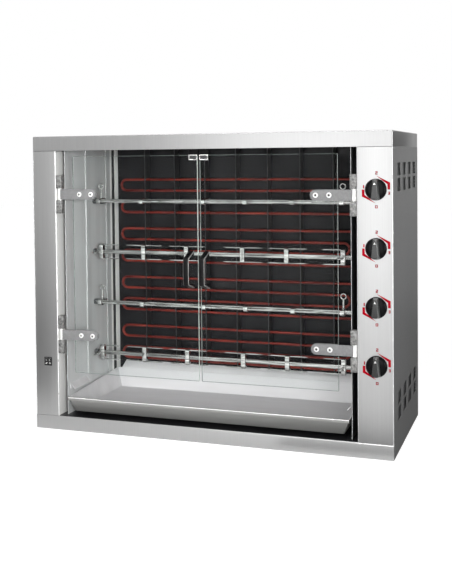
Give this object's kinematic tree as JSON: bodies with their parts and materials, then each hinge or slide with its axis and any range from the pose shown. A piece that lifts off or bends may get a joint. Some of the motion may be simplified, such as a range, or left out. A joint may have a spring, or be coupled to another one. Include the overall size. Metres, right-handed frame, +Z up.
{
  "type": "electric skewer grill",
  "caption": "Countertop electric skewer grill: a stainless cabinet with driven horizontal spits, tubular heating elements, two hinged glass doors, a control panel and a slide-out drip tray.",
  "frame": {"origin": "middle of the cabinet's footprint, on the surface that it stands on", "axes": "+X to the right seen from the front, +Y to the back, +Z up"},
  "size_m": [1.1, 0.5645, 0.9],
  "materials": {
    "brushed_stainless": "vertically brushed stainless sheet",
    "side_panel_grey": "satin grey coated sheet",
    "chamber_stainless": "bright mill finish",
    "tray_stainless": "satin stainless",
    "dark_steel": "dark grey coated steel",
    "polished_steel": "polished stainless",
    "black_enamel": "gloss vitreous enamel",
    "hot_element": "hot oxidised tube",
    "ceramic": "unglazed steatite",
    "motor_grey": "zinc-plated motor can",
    "white_thermoset": "moulded thermoset",
    "black_plastic": "satin moulded plastic",
    "knob_black": "gloss moulded plastic",
    "handle_black": "semi-gloss moulded plastic",
    "clear_glass": "clear toughened glass"
  },
  "bodies": {
    "cabinet": {"top_cap": "brushed_stainless", "base_pan": "brushed_stainless", "left_column": "brushed_stainless", "control_panel": "brushed_stainless", "left_side_panel": "brushed_stainless", "right_side_panel": "side_panel_grey", "vent_baffles": "dark_steel", "rear_panel": "brushed_stainless", "left_inner_wall": "chamber_stainless", "right_inner_wall": "chamber_stainless", "chamber_ceiling": "chamber_stainless", "chamber_floor": "black_enamel", "rear_reflector": "black_enamel", "corner_posts": "chamber_stainless", "element_holders": "chamber_stainless", "heating_element_1": "hot_element", "heating_element_2": "hot_element", "heating_element_3": "hot_element", "heating_element_4": "hot_element", "element_bushings": "ceramic", "hinge_blocks": "dark_steel", "hinge_pins": "polished_steel", "tray_rails": "dark_steel", "spit_bearings": "polished_steel", "gearmotors": "motor_grey", "selector_switches": "white_thermoset", "rocker_housing": "black_plastic", "terminal_block": "white_thermoset", "cable_gland": "black_plastic", "door_catches": "black_plastic", "panel_screws": "polished_steel"},
    "tray": {"drip_tray": "tray_stainless"},
    "left_door": {"left_door_glass": "clear_glass", "left_door_hinge_straps": "polished_steel", "left_door_bolts": "polished_steel", "left_door_handle": "handle_black", "left_door_catch_plate": "polished_steel"},
    "right_door": {"right_door_glass": "clear_glass", "right_door_hinge_straps": "polished_steel", "right_door_bolts": "polished_steel", "right_door_handle": "handle_black", "right_door_catch_plate": "polished_steel"},
    "spit_1": {"spit_rod_1": "polished_steel", "spit_forks_1": "polished_steel", "drive_claw_1": "dark_steel"},
    "spit_2": {"spit_rod_2": "polished_steel", "spit_forks_2": "polished_steel", "drive_claw_2": "dark_steel"},
    "spit_3": {"spit_rod_3": "polished_steel", "spit_forks_3": "polished_steel", "drive_claw_3": "dark_steel"},
    "spit_4": {"spit_rod_4": "polished_steel", "spit_forks_4": "polished_steel", "drive_claw_4": "dark_steel"},
    "dial_1": {"knob_1": "knob_black"},
    "dial_2": {"knob_2": "knob_black"},
    "dial_3": {"knob_3": "knob_black"},
    "dial_4": {"knob_4": "knob_black"},
    "motor_switch": {"motor_rocker": "black_plastic"},
    "mains_switch": {"mains_rocker": "black_plastic"}
  },
  "joints": [
    {"name": "left_door_hinge", "type": "hinge", "parent": "cabinet", "child": "left_door", "pos_m": [-0.4625, -0.2395, 0.508], "axis": [0, 0, -1], "range_deg": [0, 100]},
    {"name": "right_door_hinge", "type": "hinge", "parent": "cabinet", "child": "right_door", "pos_m": [0.4415, -0.2395, 0.508], "axis": [0, 0, 1], "range_deg": [0, 100]},
    {"name": "tray_slide", "type": "slide", "parent": "cabinet", "child": "tray", "axis": [0, -1, 0], "range_m": [0, 0.3]},
    {"name": "spit_1_turn", "type": "hinge", "parent": "cabinet", "child": "spit_1", "pos_m": [0, -0.037, 0.694], "axis": [1, 0, 0], "continuous": true},
    {"name": "spit_2_turn", "type": "hinge", "parent": "cabinet", "child": "spit_2", "pos_m": [0, -0.037, 0.53], "axis": [1, 0, 0], "continuous": true},
    {"name": "spit_3_turn", "type": "hinge", "parent": "cabinet", "child": "spit_3", "pos_m": [0, -0.037, 0.366], "axis": [1, 0, 0], "continuous": true},
    {"name": "spit_4_turn", "type": "hinge", "parent": "cabinet", "child": "spit_4", "pos_m": [0, -0.037, 0.202], "axis": [1, 0, 0], "continuous": true},
    {"name": "dial_1_turn", "type": "hinge", "parent": "cabinet", "child": "dial_1", "pos_m": [0.504, -0.25, 0.739], "axis": [0, 1, 0], "range_deg": [0, 270]},
    {"name": "dial_2_turn", "type": "hinge", "parent": "cabinet", "child": "dial_2", "pos_m": [0.504, -0.25, 0.578], "axis": [0, 1, 0], "range_deg": [0, 270]},
    {"name": "dial_3_turn", "type": "hinge", "parent": "cabinet", "child": "dial_3", "pos_m": [0.504, -0.25, 0.417], "axis": [0, 1, 0], "range_deg": [0, 270]},
    {"name": "dial_4_turn", "type": "hinge", "parent": "cabinet", "child": "dial_4", "pos_m": [0.504, -0.25, 0.256], "axis": [0, 1, 0], "range_deg": [0, 270]},
    {"name": "motor_switch_rock", "type": "hinge", "parent": "cabinet", "child": "motor_switch", "pos_m": [-0.51265, -0.25, 0.209], "axis": [-1, 0, 0], "range_deg": [0, 20]},
    {"name": "mains_switch_rock", "type": "hinge", "parent": "cabinet", "child": "mains_switch", "pos_m": [-0.50135, -0.25, 0.209], "axis": [-1, 0, 0], "range_deg": [0, 20]}
  ]
}
